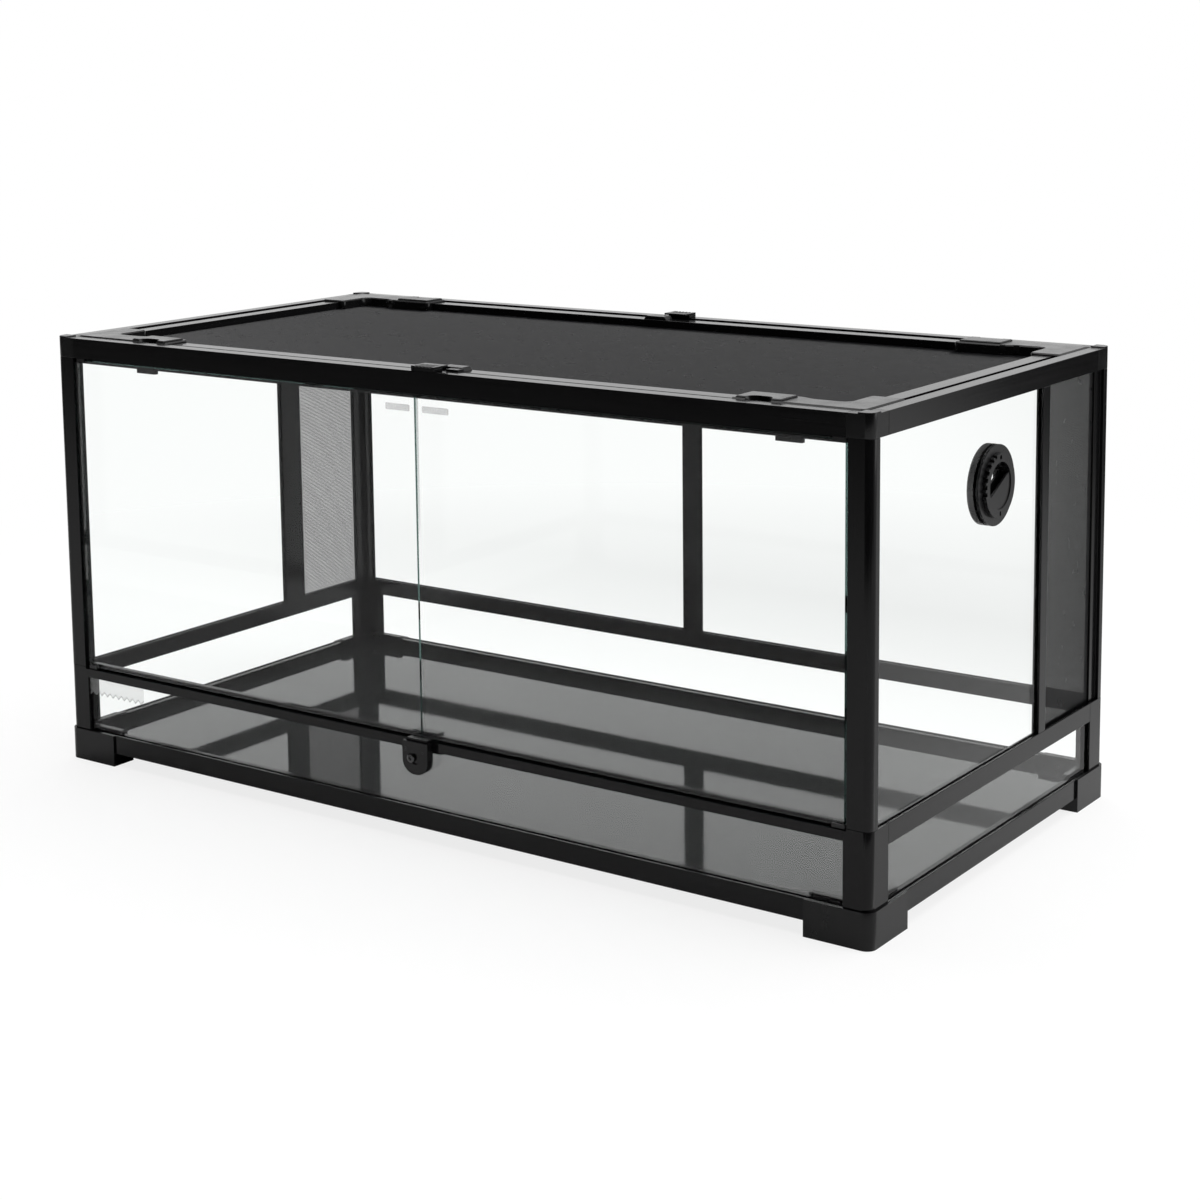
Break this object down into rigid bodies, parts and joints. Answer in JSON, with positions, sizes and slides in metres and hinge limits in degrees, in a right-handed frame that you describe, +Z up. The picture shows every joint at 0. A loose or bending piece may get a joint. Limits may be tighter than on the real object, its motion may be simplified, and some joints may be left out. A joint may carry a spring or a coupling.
{
  "type": "glass terrarium",
  "caption": "Front-opening glass terrarium: black knock-down frame with clear panes, hinged double doors, mesh vents, a lift-off mesh top and a cable port in the side.",
  "frame": {"origin": "on the ground under the middle of the frame", "axes": "+X to the right along the width, +Y to the back (doors face -Y), +Z up"},
  "size_m": [0.9196, 0.467, 0.4346],
  "materials": {
    "black_profile": "satin black coated rail",
    "moulded_plastic": "fine-grained black moulding",
    "satin_plastic": "satin black moulding",
    "clear_glass": "clear float glass with green edges",
    "wire_mesh": "black woven wire mesh",
    "floor_board": "smooth black board with a high shine"
  },
  "bodies": {
    "cabinet": {"back_middle_post": "black_profile", "base_rail_back": "black_profile", "base_rail_front": "black_profile", "base_rail_left": "black_profile", "base_rail_right": "black_profile", "corner_foot_back_left": "moulded_plastic", "corner_foot_back_right": "moulded_plastic", "corner_foot_front_left": "moulded_plastic", "corner_foot_front_right": "moulded_plastic", "door_sill": "black_profile", "floor_panel": "floor_board", "lock_clamp": "moulded_plastic", "lock_plate": "moulded_plastic", "lower_pane_back": "clear_glass", "lower_pane_front": "clear_glass", "lower_panes_side": "clear_glass", "lower_post_back_left": "black_profile", "lower_post_back_right": "black_profile", "lower_post_front_left": "black_profile", "lower_post_front_right": "black_profile", "middle_rail_back": "black_profile", "middle_rail_left": "black_profile", "middle_rail_right": "black_profile", "port_flange": "satin_plastic", "port_nut": "satin_plastic", "top_corner_back_left": "moulded_plastic", "top_corner_back_right": "moulded_plastic", "top_corner_front_left": "moulded_plastic", "top_corner_front_right": "moulded_plastic", "top_rail_back": "black_profile", "top_rail_front": "black_profile", "top_rail_left": "black_profile", "top_rail_right": "black_profile", "upper_pane_left": "clear_glass", "upper_pane_right": "clear_glass", "upper_panes_back": "clear_glass", "upper_post_back_left": "black_profile", "upper_post_back_right": "black_profile", "upper_post_front_left": "black_profile", "upper_post_front_right": "black_profile", "vent_bars": "black_profile", "vent_meshes": "wire_mesh"},
    "door_left": {"door_pane_left": "clear_glass", "door_pivots_left": "satin_plastic"},
    "door_right": {"door_pane_right": "clear_glass", "door_pivots_right": "satin_plastic"},
    "screen_top": {"screen_bars_long": "black_profile", "screen_bars_short": "black_profile", "screen_corner_back_left": "moulded_plastic", "screen_corner_back_right": "moulded_plastic", "screen_corner_front_left": "moulded_plastic", "screen_corner_front_right": "moulded_plastic", "screen_keepers": "moulded_plastic", "screen_mesh": "wire_mesh"},
    "latch_front": {"latch_slider_front": "moulded_plastic", "latch_plate_front": "moulded_plastic"},
    "latch_back": {"latch_slider_back": "moulded_plastic", "latch_plate_back": "moulded_plastic"},
    "lock_bolt": {"lock_tongue": "moulded_plastic"},
    "port_dial": {"port_shutter": "satin_plastic"}
  },
  "joints": [
    {"name": "left_door_hinge", "type": "hinge", "parent": "cabinet", "child": "door_left", "pos_m": [-0.4307, -0.2238, 0.0975], "axis": [0, 0, -1], "range_deg": [0, 100]},
    {"name": "right_door_hinge", "type": "hinge", "parent": "cabinet", "child": "door_right", "pos_m": [0.4307, -0.2238, 0.0975], "axis": [0, 0, 1], "range_deg": [0, 100]},
    {"name": "screen_lift", "type": "slide", "parent": "cabinet", "child": "screen_top", "axis": [0, 0, 1], "range_m": [0, 0.06]},
    {"name": "front_latch_slide", "type": "slide", "parent": "cabinet", "child": "latch_front", "axis": [1, 0, 0], "range_m": [0, 0.013]},
    {"name": "back_latch_slide", "type": "slide", "parent": "cabinet", "child": "latch_back", "axis": [-1, 0, 0], "range_m": [0, 0.013]},
    {"name": "lock_slide", "type": "slide", "parent": "cabinet", "child": "lock_bolt", "axis": [0, 0, 1], "range_m": [0, 0.007]},
    {"name": "port_turn", "type": "hinge", "parent": "cabinet", "child": "port_dial", "pos_m": [0.4543, -0.009, 0.339], "axis": [1, 0, 0], "range_deg": [0, 180]}
  ]
}
